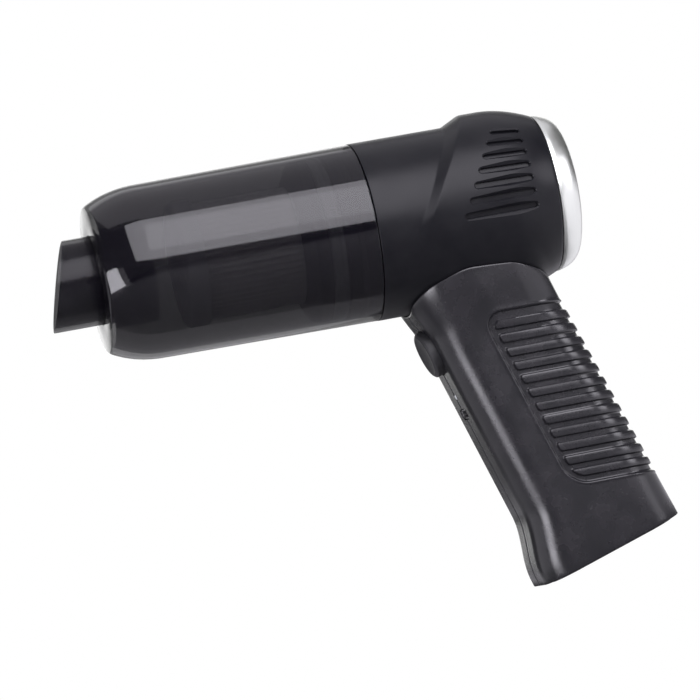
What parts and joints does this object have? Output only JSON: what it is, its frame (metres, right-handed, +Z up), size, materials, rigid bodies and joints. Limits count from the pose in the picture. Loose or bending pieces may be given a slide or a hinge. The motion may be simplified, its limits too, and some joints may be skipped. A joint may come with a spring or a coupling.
{
  "type": "cordless car vacuum blower",
  "caption": "Pistol-grip cordless car vacuum and blower with a smoked dust cup, slanted inlet nozzle, pleated filter, vented motor barrel and a silver outlet ring.",
  "frame": {"origin": "middle of the handle's flat base, which it stands on", "axes": "+Z up the handle, -X the way the nozzle points (the barrel is tilted 17 degrees nose up), Y across the width"},
  "size_m": [0.1843, 0.0624, 0.1855],
  "materials": {
    "smoked_shell": "glossy smoked clear plastic",
    "satin_black": "satin black moulded plastic",
    "grained_black": "finely grained black moulded plastic",
    "inner_black": "plain black moulded plastic",
    "black_rubber": "matte black rubber",
    "grey_rubber": "matte grey-green rubber",
    "filter_paper": "pleated filter paper",
    "white_plastic": "natural white nylon",
    "silver_plate": "satin silver plating with a spun grain",
    "steel": "bright steel",
    "copper": "copper winding and bars",
    "magnet": "dark ferrite",
    "carbon": "pressed carbon",
    "circuit_board": "green solder mask",
    "cell_wrap": "blue plastic wrap on a metal can",
    "nickel": "plain nickel strip",
    "red_wire": "red wire insulation",
    "black_wire": "black wire insulation",
    "clear_lens": "clear light pipe"
  },
  "bodies": {
    "main_body": {"motor_housing": "satin_black", "cup_seal": "black_rubber", "silver_ring": "silver_plate", "outlet_grille": "inner_black", "intake_grille": "inner_black", "fan_shroud": "inner_black", "diffuser_plate": "inner_black", "motor_can": "steel", "motor_end_bell": "white_plastic", "magnet_top": "magnet", "magnet_bottom": "magnet", "front_bearing": "steel", "rear_bearing": "steel", "brush_left": "carbon", "brush_right": "carbon", "motor_screw_left": "steel", "motor_screw_right": "steel", "motor_bracket": "inner_black", "motor_damper_ring": "black_rubber", "handle_shell_left": "grained_black", "handle_shell_right": "grained_black", "handle_base_plate": "inner_black", "shell_screw_1": "steel", "shell_screw_2": "steel", "shell_screw_3": "steel", "shell_screw_4": "steel", "neck_screw_left": "steel", "neck_screw_right": "steel", "button_spring": "steel", "switch_body": "inner_black", "led_lens": "clear_lens", "charging_port_shell": "steel", "charging_port_tongue": "inner_black", "control_board": "circuit_board", "battery_cell_1": "cell_wrap", "battery_cell_2": "cell_wrap", "battery_tray": "inner_black", "nickel_strip_top": "nickel", "nickel_strip_bottom": "nickel", "motor_lead_red": "red_wire", "motor_lead_black": "black_wire"},
    "cup": {"dust_cup": "smoked_shell"},
    "nozzle_seat": {"nozzle_oring": "black_rubber"},
    "nozzle": {"inlet_nozzle": "smoked_shell"},
    "filter": {"filter_end_cap": "inner_black", "filter_pleats": "filter_paper", "filter_frame": "inner_black", "filter_gasket": "grey_rubber"},
    "rotor": {"motor_shaft": "steel", "armature": "copper", "commutator": "copper", "impeller": "white_plastic"},
    "button": {"power_button": "satin_black", "switch_plunger": "white_plastic"}
  },
  "joints": [
    {"name": "cup_slide", "type": "slide", "parent": "main_body", "child": "cup", "axis": [-0.9563, 0, 0.2924], "range_m": [0, 0.09]},
    {"name": "filter_slide", "type": "slide", "parent": "main_body", "child": "filter", "axis": [-0.9563, 0, 0.2924], "range_m": [0, 0.036]},
    {"name": "nozzle_slide", "type": "slide", "parent": "cup", "child": "nozzle_seat", "axis": [-0.9563, 0, 0.2924], "range_m": [0, 0.025]},
    {"name": "nozzle_turn", "type": "hinge", "parent": "nozzle_seat", "child": "nozzle", "pos_m": [-0.10614, 0, 0.15914], "axis": [0.9563, 0, -0.2924], "continuous": true},
    {"name": "button_press", "type": "slide", "parent": "main_body", "child": "button", "axis": [1, 0, 0], "range_m": [0, 0.0015], "stiffness_N_per_m": 600, "springref_m": -0.002, "deforming": ["button_spring"]},
    {"name": "rotor_spin", "type": "hinge", "parent": "main_body", "child": "rotor", "pos_m": [-0.0239, 0, 0.134], "axis": [0.9563, 0, -0.2924], "continuous": true}
  ],
  "couplings": [
    {"joint": "filter_slide", "follows": "cup_slide", "ratio": 0.4}
  ]
}
